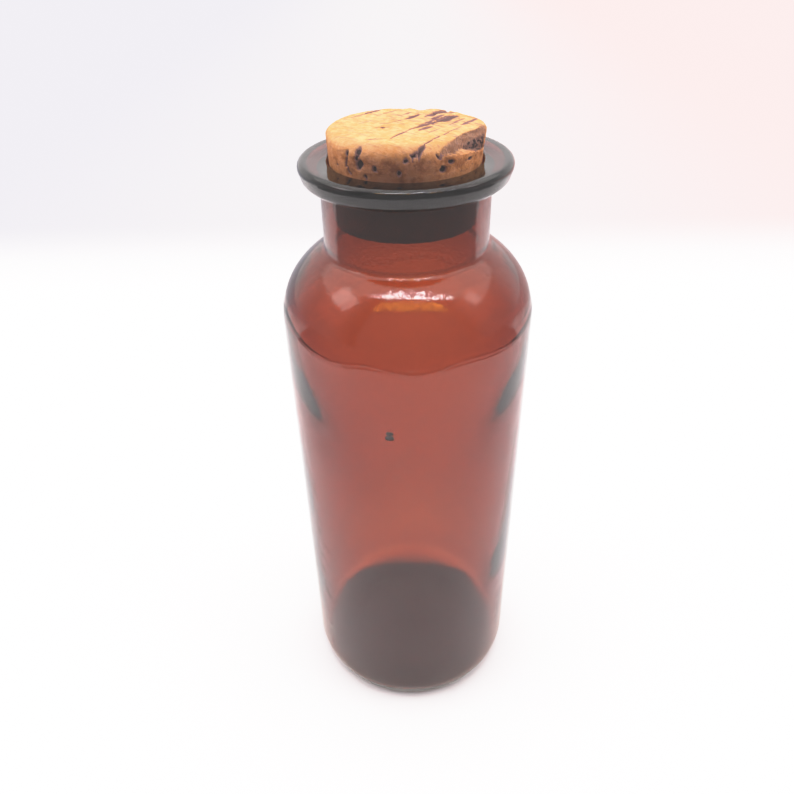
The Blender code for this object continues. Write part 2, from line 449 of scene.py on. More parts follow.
def amberMaterial(values):
    made, tree = newMaterial("amberGlass")
    output = addNode(tree, "ShaderNodeOutputMaterial", 700, 0)
    place = addNode(tree, "ShaderNodeTexCoord", -900, 0)
    height = addNode(tree, "ShaderNodeSeparateXYZ", -700, -200, inputs={
        0: place.outputs["Object"]}).outputs[2]
    peel = mottle(tree, place.outputs["Object"], values["peelScale"], -600, 200, 1.0,
                  low=0.2, high=0.8)
    upper = ramp(tree, height, *values["peelFrom"], -500, -200)
    peelHeight = mathNode(tree, 'MULTIPLY', peel, upper, -300, 100)
    ripple = mottle(tree, place.outputs["Object"], values["rippleScale"], -600, 500, 1.0,
                    low=0.0, high=1.0)
    fine = addNode(tree, "ShaderNodeBump", -100, 100, inputs={
        "Height": peelHeight, "Distance": values["peelHeight"], "Strength": 1.0})
    slow = addNode(tree, "ShaderNodeBump", 100, 100, inputs={
        "Height": ripple, "Distance": values["rippleHeight"], "Strength": 1.0,
        "Normal": fine.outputs[0]})
    shader = addNode(tree, "ShaderNodeBsdfPrincipled", 350, 100, inputs={
        "Base Color": (1, 1, 1, 1), "Transmission Weight": 1.0, "IOR": values["ior"],
        "Roughness": values["roughness"], "Normal": slow.outputs[0]})
    volume = addNode(tree, "ShaderNodeVolumeAbsorption", 350, -300, inputs={
        "Color": values["absorbColour"], "Density": values["absorbDensity"]})
    feed(tree, shader.outputs[0], output.inputs["Surface"])
    feed(tree, volume.outputs[0], output.inputs["Volume"])
    return made


showPiece("bottle_glass",
          bottleMesh(bottleShape, heelRounding, unevenGlass, heavyGlass, lapLine),
          amberMaterial(amberGlass), "bottle", "amber_glass", "bottle")

# one dark stone in the glass, in two lobes: azimuth, height and half sizes in degrees and mm
stones = [
    {"azimuth": -98.4, "height": 111.1, "across": 0.95, "tall": 0.52, "deep": 0.35},
    {"azimuth": -98.5, "height": 109.8, "across": 1.10, "tall": 0.80, "deep": 0.40},
]
stoneDepth = 0.8              # from the outside of the wall to the middle of a lobe
stoneRows, stoneSides = 12, 24


def stoneMesh(values, wallMiddle):
    a = math.radians(values["azimuth"])
    out, along = Vector((math.cos(a), math.sin(a), 0)), Vector((-math.sin(a), math.cos(a), 0))
    centre = out * wallMiddle + Vector((0, 0, values["height"]))
    rings = []
    for k in range(1, stoneRows):
        low = math.pi * k / stoneRows
        ring = []
        for j in range(stoneSides):
            turn = math.tau * j / stoneSides
            ring.append((centre + along * values["across"] * math.sin(low) * math.cos(turn)
                         + out * values["deep"] * math.sin(low) * math.sin(turn)
                         + Vector((0, 0, values["tall"] * math.cos(low)))) * mm)
        rings.append(ring)
    up = Vector((0, 0, values["tall"]))
    return turnedMesh("stone", np.array(rings), (centre + up) * mm, (centre - up) * mm)


def stoneMaterial():
    made, tree = newMaterial("glassStone")
    output = addNode(tree, "ShaderNodeOutputMaterial", 300, 0)
    shader = addNode(tree, "ShaderNodeBsdfPrincipled", 0, 0, inputs={
        "Base Color": (0.02, 0.014, 0.012, 1), "Roughness": 0.6})
    feed(tree, shader.outputs[0], output.inputs[0])
    return made


stoneDark = stoneMaterial()
for stone in stones:
    showPiece("stone", stoneMesh(stone, bottleShape["bodyRadius"] - stoneDepth), stoneDark,
              "bottle", "amber_glass")
print("bottle made")


# the cork, in millimetres too

corkShape = {
    "lipTop": 167.4, "standOut": 6.4, "inserted": 14.25, "mouthRadius": 17.8, "clearance": 0.3,
    "taper": 0.045, "topRounding": 1.1, "wornRounding": 2.7, "footRounding": 0.6,
    # how finely it is cut: sides, rows across the top, down to the lip, below it and across
    # the foot, steps in the roundings, and the radius of the innermost rows
    "sides": 640, "topRows": 78, "sideRows": 30, "neckRows": 34, "footRows": 16,
    "topSteps": 12, "footSteps": 5, "topMiddle": 0.6, "footMiddle": 1.0,
}

# how its surface is worn, and where shade is painted on its front, in mm and degrees; a pair is
# where an effect starts and is full
corkWearAndShade = {
    "rubbed": (-0.2, 0.7),        # the rounder front of the top edge, by its sine
    "free": (0.2, 1.5),           # only the part above the lip is uneven
    "side": (13, 17), "lumps": ((0.22, 9, 1.0), (0.06, 1.6, 2.0)),     # height, size, seed
    "bulge": 0.7, "bulgeAzimuth": 10, "bulgeSpread": 20, "bulgeFrom": (1, 5),
    "topWave": 0.10, "topWaveSize": 7, "topSag": 0.2, "topBelow": (1.5, 0.1),
    "topRadius": 18.6,
    "dip": 0.6, "dipAzimuth": 77, "dipSpread": 7, "dipFrom": (11, 16.5),
    "ragged": 0.35, "raggedSize": 0.9, "pitEdge": (0.55, 1.25), "pitRadius": 17.6,
    "pitsBeyond": 14,
    "fibreAzimuth": 50, "fibreShare": 0.75, "fibreSize": 0.75, "fibreStretch": 0.3,
    "streakEdge": (0.35, 1.3), "streaksAbove": 2.9, "streakTaper": 0.5, "streakLimit": 0.3,
    "grain": 0.05, "grainSize": 0.7, "grainFrom": (-0.5, 0.5),
    # painted shade on the front: its azimuth, spread, where it starts and is full, and its
    # ragged edge
    "darkAzimuth": -97, "darkSpread": 37, "darkFrom": (13.5, 17.5), "darkRagged": 0.6,
}

# chip broken out of the top edge: its chord's direction and distance, how the wall leans, and
# the depths at places along the chord
corkChip = {
    "azimuth": -33.5, "chord": 14.4, "lean": 0.22,
    "along": (-11.5, -8.0, -4.0, 0.0, 4.0, 8.0, 12.0),
    "depth": (1.3, 2.2, 2.5, 2.8, 3.7, 4.5, 4.8),
    "outward": 0.10,                                    # the floor falls towards the outside
    "roughness": 0.3, "roughSize": 2.2, "floorRoughness": 1.3,
    "grain": 0.07, "grainAcross": 4.2, "grainAlong": 0.8, "grainWander": 9,
    "anchorBelow": 9.0, "deepest": 0.4, "halvings": 14,      # the search for its surface
    "nearFrom": 12.5, "nearBelow": 6,                   # and the part that is searched
    "hollowBelow": (1.6, 2.4), "hollowAlong": (-1.5, 2.0),
    # how dark the wall and the ledge are: partly their own colour, partly painted shade
    "wallDark": 0.72, "ledgeDark": 0.05, "edge": (0.97, 1.0),
}

# pits in the side: azimuth, height above the lip, half width, half height, depth, slant
sidePits = [
    (-124.7, 5.1, 0.96, 0.98, 0.45, 0.0), (-134.6, 4.2, 0.58, 0.85, 0.5, 0.1),
    (-135.4, 2.4, 0.38, 1.34, 0.5, 0.15), (-134.2, 0.9, 0.38, 0.85, 0.4, -0.1),
    (-126.0, 3.7, 0.45, 0.85, 0.5, 0.3), (-123.8, 2.5, 1.09, 1.22, 0.7, 0.3),
    (-111.5, 2.0, 0.58, 0.85, 0.5, 0.0), (-118.8, 0.1, 0.51, 0.61, 0.4, 0.0),
    (-89.7, 4.0, 0.64, 0.67, 0.45, 0.2), (-84.4, 4.9, 0.9, 0.43, 0.4, 0.0),
    (-94.4, 1.4, 0.64, 0.61, 0.25, 0.0), (-63.4, 1.5, 0.9, 0.79, 0.6, 0.0),
    (-56.7, 2.7, 1.02, 0.49, 0.5, -0.2), (-38.0, 2.2, 0.77, 0.43, 0.3, 0.1),
    (-132.3, 0.2, 0.32, 0.37, 0.3, 0.0), (-146.7, 1.0, 0.26, 0.3, 0.2, 0.0),
    (-67.7, 4.3, 0.32, 0.85, 0.35, -0.6), (60.0, 3.0, 0.64, 0.98, 0.5, 0.1),
    (95.0, 1.8, 0.77, 0.61, 0.5, 0.0), (128.0, 3.6, 0.51, 1.1, 0.5, 0.2),
    (165.0, 2.6, 0.64, 0.73, 0.5, 0.0), (25.0, 1.2, 0.51, 0.61, 0.4, 0.0),
    (80.0, -5.0, 0.6, 1.2, 0.5, 0.2), (-20.0, -7.5, 0.7, 0.9, 0.5, 0.0),
    (-100.0, -6.0, 0.5, 1.1, 0.5, 0.1), (170.0, -9.0, 0.6, 0.8, 0.5, 0.0),
]

# dark streaks and grooves on top: start x y, end x y, half width, darkness, depth
topStreaks = [
    (-12.6, 7.6, -9.2, 11.6, 0.4, 0.55, 0.08), (-9.2, 11.6, -6.2, 15.2, 0.8, 0.85, 0.2),
    (-2.6, 16.6, 0.6, 17.1, 0.8, 0.85, 0.2), (-7.2, -1.3, -3.5, -1.0, 0.3, 0.7, 0.12),
    (-5.5, -1.1, -4.6, -0.8, 0.55, 1.0, 0.3), (-5.8, 2.3, -3.3, 2.4, 0.45, 0.45, 0.08),
    (-3.5, 2.7, 0.2, 5.6, 0.35, 0.5, 0.1), (0.2, 5.6, 3.2, 9.2, 0.7, 0.85, 0.2),
    (4.8, 7.6, 7.4, 10.4, 1.2, 0.8, 0.25), (7.0, 10.1, 10.2, 13.8, 1.7, 0.86, 0.35),
    (0.9, -3.2, 4.0, 0.0, 0.5, 0.6, 0.12), (2.3, -1.7, 8.1, 4.0, 0.85, 0.85, 0.25),
    (7.6, 3.5, 11.9, 7.9, 1.9, 0.88, 0.35), (4.6, 2.2, 8.6, 6.4, 0.6, 0.75, 0.15),
    (3.0, -3.8, 5.9, -1.1, 0.8, 0.8, 0.2), (-3.1, -9.6, 0.8, -3.6, 0.3, 0.8, 0.15),
    (0.8, -3.6, 3.4, 0.1, 0.35, 0.7, 0.12), (-8.3, -10.5, -5.0, -9.9, 0.35, 0.5, 0.08),
    (12.4, -0.5, 16.6, 6.0, 0.5, 0.7, 0.15), (1.4, -17.5, 2.8, -16.4, 0.45, 0.9, 0.4),
    (2.8, -17.0, 3.8, -14.4, 0.7, 0.92, 0.5), (3.9, -14.0, 5.6, -11.4, 0.45, 0.88, 0.35),
    (5.6, -11.2, 7.2, -8.8, 0.3, 0.75, 0.2), (7.2, -16.2, 10.4, -11.6, 0.4, 0.8, 0.2),
    (8.0, -8.0, 9.4, -6.0, 0.3, 0.6, 0.12),
    (6.0, 5.6, 9.0, 8.6, 0.6, 0.7, 0.12), (9.8, 10.6, 12.2, 12.8, 0.5, 0.6, 0.1),
    (-6.5, 9.5, -2.0, 14.0, 0.3, 0.45, 0.06), (8.8, -6.8, 12.4, -1.6, 0.3, 0.5, 0.08),
    (11.0, 2.0, 13.6, 5.4, 0.45, 0.55, 0.08), (9.5, -0.5, 12.0, 2.6, 0.3, 0.5, 0.06),
    (-1.0, 8.6, 1.6, 12.0, 0.35, 0.5, 0.08), (2.6, 11.6, 4.8, 14.6, 0.4, 0.6, 0.1),
    (-10.5, 2.2, -7.6, 5.0, 0.25, 0.35, 0.04), (5.0, -6.2, 7.6, -3.0, 0.3, 0.5, 0.08),
]


def corkProfile(s, rounding):
    # radius and height from the middle of the top to the middle of the foot
    top = s["lipTop"] + s["standOut"]
    foot = s["lipTop"] - s["inserted"]

    def radius(height):
        return s["mouthRadius"] - s["clearance"] + s["taper"] * (height - s["lipTop"])

    flat = radius(top - rounding) - rounding
    rows = [(r, top) for r in np.linspace(s["topMiddle"], flat, s["topRows"], endpoint=False)]
    for k in range(s["topSteps"] + 1):
        a = math.pi / 2 * k / s["topSteps"]
        rows.append((flat + rounding * math.sin(a), top - rounding * (1 - math.cos(a))))
    rows += [(radius(z), z)
             for z in np.linspace(top - rounding, s["lipTop"], s["sideRows"])[1:]]
    rows += [(radius(z), z)
             for z in np.linspace(s["lipTop"], foot + s["footRounding"], s["neckRows"])[1:]]
    low = radius(foot) - s["footRounding"]
    for k in range(1, s["footSteps"] + 1):
        a = math.pi / 2 * k / s["footSteps"]
        rows.append((low + s["footRounding"] * math.cos(a),
                     foot + s["footRounding"] * (1 - math.sin(a))))
    rows += [(r, foot) for r in np.linspace(low, s["footMiddle"], s["footRows"])[1:]]
    return np.array(rows), top, foot


def chipAxes(chip):
    # directions out through the middle of the chip and along its chord
    a = math.radians(chip["azimuth"])
    return np.array([math.cos(a), math.sin(a), 0]), np.array([-math.sin(a), math.cos(a), 0])


def chipDistance(points, chip, top):
    # how far each point (mm) lies beyond the broken wall, and above the broken floor
    out, chord = chipAxes(chip)
    outward, along = points @ out, points @ chord
    below = top - points[:, 2]
    rough = chip["roughness"] * noiseAt(points * mm, chip["roughSize"], 3, seed=3.0)
    grain = chip["grain"] * np.sin(points[:, 2] * chip["grainAcross"]
                                   + along * chip["grainAlong"] + chip["grainWander"] * rough)
    wall = outward - chip["chord"] - chip["lean"] * below + rough + grain
    depth = np.interp(along, chip["along"], chip["depth"])
    floor = (depth + chip["outward"] * (outward - chip["chord"]) - below
             + chip["floorRoughness"] * rough)
    return wall, floor


def cutChip(points, chip, top):
    # each point slides towards a place deep inside until it leaves the chip
    out, chord = chipAxes(chip)
    anchor = np.array([0.0, 0.0, top - chip["anchorBelow"]])
    near = (points @ out > chip["nearFrom"]) & (points[:, 2] > top - chip["nearBelow"])
    ray = points[near] - anchor
    low, high = np.full(len(ray), chip["deepest"]), np.ones(len(ray))
    wall, floor = chipDistance(anchor + ray, chip, top)
    inside = np.minimum(wall, floor) > 0
    for _ in range(chip["halvings"]):
        middle = (low + high) / 2
        wall, floor = chipDistance(anchor + ray * middle[:, None], chip, top)
        gone = np.minimum(wall, floor) > 0
        high = np.where(gone, middle, high)
        low = np.where(gone, low, middle)
    share = np.where(inside, low, 1.0)
    result = points.copy()
    result[near] = anchor + ray * share[:, None]
    # the wall is dark, partly its own colour and partly painted shade; painted shade makes the
    # hollow at one end darkest, and the ledge at the other end stays light
    wall, floor = chipDistance(result[near], chip, top)
    hollow = (smoothStep(top - result[near][:, 2], *chip["hollowBelow"])
              * smoothStep(result[near] @ chord, *chip["hollowAlong"]))
    least = np.where(wall < floor, chip["wallDark"], chip["ledgeDark"])
    level = least + (1 - least) * hollow
    mask = np.zeros(len(points))
    mask[near] = level * (1 - smoothStep(share, *chip["edge"]))
    return result, mask


def segmentDistance(xy, streak):
    # distance across a streak, and where along it the point lies, thinner at both ends
    a, b = np.array(streak[:2]), np.array(streak[2:4])
    run = b - a
    t = np.clip(((xy - a) @ run) / (run @ run), 0, 1)
    return np.linalg.norm(xy - (a + t[:, None] * run), axis=1), t


def corkMesh(s, wearAndShade, chip, pits, streaks):
    sharp, top, foot = corkProfile(s, s["topRounding"])
    wornAndShaded = corkProfile(s, s["wornRounding"])[0]
    sides = s["sides"]
    angles = np.arange(sides) * (2 * math.pi / sides)
    # the front of the top edge is rubbed rounder than the back
    rubbed = smoothStep(-np.sin(angles), *wearAndShade["rubbed"])
    r, z = sharp.T[:, :, None] * (1 - rubbed) + wornAndShaded.T[:, :, None] * rubbed
    rings = np.stack([r * np.cos(angles), r * np.sin(angles), z], -1)
    mesh = turnedMesh("cork", rings * mm, (0, 0, top * mm), (0, 0, foot * mm))
    points = meshArrays(mesh)[0] / mm
    azimuth = np.degrees(np.arctan2(points[:, 1], points[:, 0]))
    above = points[:, 2] - s["lipTop"]
    reach = np.hypot(points[:, 0], points[:, 1])
    free = smoothStep(above, *wearAndShade["free"])

    # worn, slightly lumpy outline
    turn = (azimuth - wearAndShade["bulgeAzimuth"] + 180) % 360 - 180
    swell = (wearAndShade["bulge"] * bell(turn, 0, wearAndShade["bulgeSpread"])
             * smoothStep(above, *wearAndShade["bulgeFrom"]))
    lumps = sum(height * noiseAt(points * mm, size, 2, seed)
                for height, size, seed in wearAndShade["lumps"])
    side = smoothStep(reach, *wearAndShade["side"])
    outward = (swell + lumps) * free * side
    points[:, :2] *= (1 + outward / np.maximum(reach, 1))[:, None]
    onFlat = smoothStep(above, *(s["standOut"] - below for below in wearAndShade["topBelow"]))
    onFlat = onFlat * (reach < wearAndShade["topRadius"])
    waves = wearAndShade["topWave"] * noiseAt(points * mm, wearAndShade["topWaveSize"], 2, seed=5.0)
    points[:, 2] += onFlat * (waves - wearAndShade["topSag"] * side)
    # a worn dip in the back edge
    points[:, 2] -= (wearAndShade["dip"] * bell(azimuth, wearAndShade["dipAzimuth"], wearAndShade["dipSpread"])
                     * smoothStep(reach, *wearAndShade["dipFrom"]) * free)

    points, broken = cutChip(points, chip, top)

    # pits and streaks as real hollows, with their darkness kept for the material
    dark = np.zeros(len(points))
    depth = np.zeros(len(points))
    ragged = 1 + wearAndShade["ragged"] * noiseAt(points * mm, wearAndShade["raggedSize"], 2, seed=9.0)
    for az, height, width, tall, deep, slant in pits:
        turn = (azimuth - az + 180) % 360 - 180
        up = above - height
        across = np.radians(turn) * wearAndShade["pitRadius"] - slant * up
        d = np.sqrt((across / width) ** 2 + (up / tall) ** 2) * ragged
        shape = (1 - smoothStep(d, *wearAndShade["pitEdge"])) * (reach > wearAndShade["pitsBeyond"])
        depth += deep * shape
        dark = np.maximum(dark, shape)
    # the streaks end at the chip, and their edges are frayed along the fibres
    onTop = (above > s["standOut"] - wearAndShade["streaksAbove"]) * (broken < wearAndShade["streakLimit"])
    a = math.radians(wearAndShade["fibreAzimuth"])
    along = points @ np.array([math.cos(a), math.sin(a), 0])
    across = points @ np.array([-math.sin(a), math.cos(a), 0])
    combed = np.stack([wearAndShade["fibreStretch"] * along, across, 0 * along], -1)
    frayed = 1 + wearAndShade["fibreShare"] * noiseAt(combed * mm, wearAndShade["fibreSize"], 2, seed=12.0)
    for streak in streaks:
        d, t = segmentDistance(points[:, :2], streak)
        width, darkness, deep = streak[4:]
        thin = 1 - wearAndShade["streakTaper"] * np.abs(2 * t - 1) ** 3
        shape = (1 - smoothStep(d * frayed / (width * thin), *wearAndShade["streakEdge"])) * onTop
        depth += deep * shape
        dark = np.maximum(dark, darkness * shape)
    setPoints(mesh, points * mm)
    normals = meshArrays(mesh)[1]
    grain = (wearAndShade["grain"] * noiseAt(points * mm, wearAndShade["grainSize"], 2, seed=6.0)
             * smoothStep(above, *wearAndShade["grainFrom"]))
    points = points + normals * (grain - depth)[:, None]
    setPoints(mesh, points * mm)
    # painted shade on the front, darkest in the middle, with its frayed edge on the top
    paintedFrontShade = bell(azimuth, wearAndShade["darkAzimuth"], wearAndShade["darkSpread"]) * smoothStep(
        reach + wearAndShade["darkRagged"] * ragged, *wearAndShade["darkFrom"])
    for name, values in (("dark", dark), ("broken", broken), ("wornAndShaded", paintedFrontShade)):
        layer = mesh.attributes.new(name, 'FLOAT', 'POINT')
        layer.data.foreach_set("value", values.astype(np.float32))
    return mesh


# colours, and scales of the grain; a pair is where an effect starts and is full, in metres
naturalCork = {
    "tan": (0.60, 0.305, 0.132, 1),
    "orange": (0.56, 0.27, 0.085, 1), "cloudScale": 210,
    "pale": (0.71, 0.425, 0.24, 1), "patchScale": 700, "patchShare": 0.6,
    "streak": (0.19, 0.09, 0.085, 1),
    "fibreScale": 1500, "fibreTurn": math.radians(-50), "fibreStretch": 0.16,
    # the fibres show most towards the back and the right
    "fibreTowards": (0.8, 0.5, 0), "fibreFrom": (-0.008, 0.008), "fibreShare": (0.3, 0.75),
    # the chip's dark purple-brown, partly its own colour and partly painted shade
    "broken": (0.17, 0.085, 0.080, 1), "brokenShare": 0.9,
    "shadeSpeckScale": 1300, "shadeSpeckFrom": (0.78, 0.95),
    "side": (0.88, 0.73, 0.57, 1),         # the side is darker and browner, partly its own colour and partly painted shade; painted shade darkens its front more
    "paintedSideShade": (0.63, 0.53, 0.63, 1),
    "sideSpots": (0.68, 0.58, 0.52, 1), "spotScale": 420,
    "sideFrom": (0.0150, 0.0176), "sideBelow": (0.1704, 0.1732),
    "wornAndShaded": (0.67, 0.60, 0.51, 1),         # painted shade on the front of the top edge too
    "pit": (0.035, 0.02, 0.02, 1),
    "shallow": (0.1, 0.7), "deep": (0.75, 1.0),
    "paintedNeckShade": (0.048, 0.027, 0.020, 1),   # painted shade on the part that sits in the neck
    "neckShadeFoot": 0.1660, "neckShadeTop": 0.1668,
    "roughness": 0.85, "gloss": 0.3,
    "speckScale": 2600, "speckHeight": 0.00006, "speckStrength": 0.8,
}


def corkMaterial(values):
    made, tree = newMaterial("naturalCork")
    output = addNode(tree, "ShaderNodeOutputMaterial", 1300, 0)
    place = addNode(tree, "ShaderNodeTexCoord", -1200, 0).outputs["Object"]
    height = addNode(tree, "ShaderNodeSeparateXYZ", -1000, -300, inputs={0: place}).outputs[2]
    dark, broken, wornAndShaded = (
        addNode(tree, "ShaderNodeAttribute", -900, y, attribute_name=name).outputs[2]
        for name, y in (("dark", -500), ("broken", -700), ("wornAndShaded", -1300)))
    cloud = mottle(tree, place, values["cloudScale"], -900, 500, 3.0)
    patch = mottle(tree, place, values["patchScale"], -900, 250, 3.0, low=0.35, high=0.75)
    lines = mottle(tree, place, values["fibreScale"], -900, 0, 3.0, values["fibreTurn"],
                   values["fibreStretch"], low=0.52, high=0.72)
    colour = mixColour(tree, cloud, values["tan"], values["orange"], -500, 400)
    colour = mixColour(tree, mathNode(tree, 'MULTIPLY', patch, values["patchShare"]), colour,
                       values["pale"], -300, 350)
    towards = addNode(tree, "ShaderNodeVectorMath", -900, -1500, operation='DOT_PRODUCT',
                      inputs={0: place, 1: values["fibreTowards"]}).outputs[1]
    fibrous = mathNode(tree, 'MULTIPLY', lines, ramp(
        tree, towards, *values["fibreFrom"], -700, -1500, *values["fibreShare"]))
    colour = mixColour(tree, fibrous, colour, values["streak"], -100, 300)
    colour = mixColour(tree, mathNode(tree, 'MULTIPLY', broken, values["brokenShare"]), colour,
                       values["broken"], 50, 250)
    # the side is found by its distance from the axis and its height
    flat = mixColour(tree, 1.0, place, (1, 1, 0, 1), -1000, -900, 'MULTIPLY')
    radius = addNode(tree, "ShaderNodeVectorMath", -900, -900, operation='LENGTH',
                     inputs={0: flat}).outputs[1]
    onSide = mathNode(tree, 'MULTIPLY', ramp(tree, radius, *values["sideFrom"], -700, -900),
                      ramp(tree, height, *values["sideBelow"], -700, -1100, 1.0, 0.0),
                      -500, -900)
    # painted shade on the front of the top edge and of the side
    colour = mixColour(tree, wornAndShaded, colour, values["wornAndShaded"], 100, 250, 'MULTIPLY')
    side = mixColour(tree, wornAndShaded, values["side"], values["paintedSideShade"], 0, 0)
    # the side's darker, browner colour, partly its own and partly painted shade
    colour = mixColour(tree, onSide, colour, side, 150, 250, 'MULTIPLY')
    spots = mottle(tree, place, values["spotScale"], -900, 750, 3.0, low=0.48, high=0.66)
    colour = mixColour(tree, mathNode(tree, 'MULTIPLY', spots, onSide), colour,
                       values["sideSpots"], 200, 400, 'MULTIPLY')
    # nearly black specks of painted shade in the hollow of the chip
    shadeSpecks = mottle(tree, place, values["shadeSpeckScale"], -900, 950, 2.0, low=0.46, high=0.58)
    colour = mixColour(tree, mathNode(tree, 'MULTIPLY', shadeSpecks, ramp(
        tree, broken, *values["shadeSpeckFrom"])), colour, values["pit"], 220, 500)
    # shallow streaks stay purple-brown, deep pits go nearly black
    colour = mixColour(tree, ramp(tree, dark, *values["shallow"]), colour, values["streak"],
                       250, 200)
    colour = mixColour(tree, ramp(tree, dark, *values["deep"]), colour, values["pit"], 450, 150)
    # painted shade: the part of the cork inside the neck goes nearly black
    neckShade = ramp(tree, height, values["neckShadeFoot"], values["neckShadeTop"], 400, -200, 1.0, 0.0)
    colour = mixColour(tree, neckShade, colour, values["paintedNeckShade"], 650, 100)
    speck = mottle(tree, place, values["speckScale"], -500, -300, 2.0, low=0.4, high=0.6)
    bump = addNode(tree, "ShaderNodeBump", 800, -300, inputs={
        "Height": speck, "Distance": values["speckHeight"],
        "Strength": values["speckStrength"]})
    shader = addNode(tree, "ShaderNodeBsdfPrincipled", 1000, 0, inputs={
        "Base Color": colour, "Roughness": values["roughness"],
        "Specular IOR Level": values["gloss"], "Normal": bump.outputs[0]})
    feed(tree, shader.outputs[0], output.inputs["Surface"])
    return made


showPiece("cork", corkMesh(corkShape, corkWearAndShade, corkChip, sidePits, topStreaks),
          corkMaterial(naturalCork), "cork", "natural_cork", "cork_stopper")
print("cork made")


# table, surroundings and lamps

# the table lies a hair (gap, in mm) below the bottle, and turns into a pale backdrop behind it
tableTop = {
    "size": 6.0, "gap": 0.03, "colour": (0.905, 0.855, 0.862, 1), "roughness": 0.9,
    "gloss": 0.2, "farStart": 0.245, "farEnd": 0.39,
    "farLeft": (0.81, 0.78, 0.86, 1), "farMiddle": (0.93, 0.865, 0.89, 1),
    "farRight": (1.12, 0.77, 0.76, 1), "farWidth": 0.42,
}

# the room: a bright wall behind the bottle, greyer ones beside it, dark behind the camera
room = {
    "behind": (1.32, 1.25, 1.25, 1), "beside": (0.68, 0.64, 0.65, 1),
    "front": (0.20, 0.20, 0.21, 1), "overhead": (0.85, 0.83, 0.84, 1), "strength": 1.0,
    "wallEnd": (52, 82),          # degrees from straight behind where the bright wall ends
    "frontStart": (104, 132),     # and where the dark side starts
    "wallTop": (18, 46),          # elevation where the walls end
    "frontTop": (68, 82),         # elevation where the dark side ends
    "plain": (0.93, 0.88, 0.885, 1),       # what is seen of it directly
}

lampTarget = (0, 0, 0.1)      # every lamp points at the middle of the bottle

# flat lamps: place, size across and along, light, and whether the glass mirrors them
lamps = [
    {"name": "soft_key", "at": (0.0, 0.25, 1.10), "size": (1.3, 0.7), "light": 2.6,
     "inGlass": True},
    {"name": "top_fill", "at": (0.0, -0.30, 1.10), "size": (1.2, 0.4), "light": 2.6,
     "inGlass": False},
    {"name": "front_fill", "at": (0.0, -0.80, 0.70), "size": (1.0, 0.5), "light": 0.9,
     "inGlass": False},
    {"name": "left_card", "at": (-0.71, -0.09, 0.84), "size": (0.36, 0.28), "light": 2.2,
     "inGlass": True, "onlyInGlass": True},
    {"name": "right_card", "at": (0.76, -0.09, 0.84), "size": (0.20, 0.22), "light": 1.3,
     "inGlass": True, "onlyInGlass": True},
    {"name": "left_fill", "at": (-0.85, -0.12, 0.65), "size": (0.6, 0.6), "light": 2.9,
     "inGlass": False},
    {"name": "right_fill", "at": (0.85, -0.12, 0.65), "size": (0.6, 0.6), "light": 3.0,
     "inGlass": False},
]

# the ceiling's speckled lamp, seen only in the glass: left and right x, middle y, how much
# further back its ends lie, width and height, and the light of its dots and between them
tube = {"left": -0.58, "right": 0.74, "y": -0.29, "bend": 0.14, "width": 0.20, "height": 1.2,
        "steps": 13, "dots": (25.0, 25.0, 27.0, 1), "between": (2.6, 2.4, 2.6, 1),
        "dotScale": 28.0}

# orange sparks that the shoulder mirrors under that lamp, from an upright panel in front
sparks = {"left": -0.25, "right": 0.29, "y": -0.268, "low": 0.56, "high": 0.80,
          "dots": (11.0, 5.6, 0.9, 1), "between": (0.3, 0.25, 0.22, 1), "dotScale": 60.0}

# the pale ceiling, seen only in the glass
ceiling = {"wide": 1.25, "near": -0.17, "far": 0.95, "height": 1.0,
           "light": (2.0, 1.9, 1.85, 1)}

# the dim front of the room, where the camera stands, seen only in the glass
viewer = {"y": -0.27, "left": -0.25, "right": 0.35, "height": 0.9,
          "light": (0.46, 0.44, 0.45, 1)}

# the glass mirrors a dark floor beyond the white table's near edges; its inner edge is half an
# ellipse in front of the bottle
darkFloor = {"wide": 2.5, "far": -3.0, "side": 0.26, "back": 0.1, "front": viewer["y"],
             "height": mm, "steps": 33, "light": viewer["light"]}

# painted light round the heel, seen only in the glass; sizes in mm: the profile runs outwards
# from where the bottle stands, as share of the way and strength
heelGlow = {
    "reach": 64.0, "height": -0.015, "front": 0.12, "back": 0.55, "behindFrom": (0.1, 0.7),
    "profile": ((0.0, 0.0), (0.08, 1.0), (0.2, 0.75), (0.4, 0.35), (0.65, 0.12), (1.0, 0.0)),
    "light": (1.0, 0.95, 0.6, 1), "sides": 180,
}


def flatPanel(name, corners, material):
    mesh = bpy.data.meshes.new(name)
    mesh.from_pydata(corners, [], [tuple(range(len(corners)))])
    mesh.materials.append(material)
    made = bpy.data.objects.new(name, mesh)
    bpy.context.scene.collection.objects.link(made)
    return made


def makeTable(values):
    material, tree = newMaterial("whiteTable")
    output = addNode(tree, "ShaderNodeOutputMaterial", 350, 0)
    shader = addNode(tree, "ShaderNodeBsdfPrincipled", -100, 0, inputs={
        "Base Color": values["colour"], "Roughness": values["roughness"],
        "Specular IOR Level": values["gloss"]})
    place = addNode(tree, "ShaderNodeTexCoord", -1100, 300).outputs["Object"]
    axes = addNode(tree, "ShaderNodeSeparateXYZ", -900, 300, inputs={0: place}).outputs
    wide = values["farWidth"]
    glow = mixColour(tree, ramp(tree, axes[0], -wide, 0.0, -700, 500), values["farLeft"],
                     values["farMiddle"], -400, 500)
    glow = mixColour(tree, ramp(tree, axes[0], 0.0, wide, -700, 300), glow,
                     values["farRight"], -200, 400)
    backdrop = addNode(tree, "ShaderNodeEmission", 0, 300, inputs={"Color": glow})
    far = ramp(tree, axes[1], values["farStart"], values["farEnd"], -300, 100)
    both = addNode(tree, "ShaderNodeMixShader", 150, 100, inputs={
        0: far, 1: shader.outputs[0], 2: backdrop.outputs[0]})
    feed(tree, both.outputs[0], output.inputs[0])
    size, low = values["size"], -values["gap"] * mm
    flatPanel("table", [(-size, -size, low), (size, -size, low), (size, size, low),
                        (-size, size, low)], material)


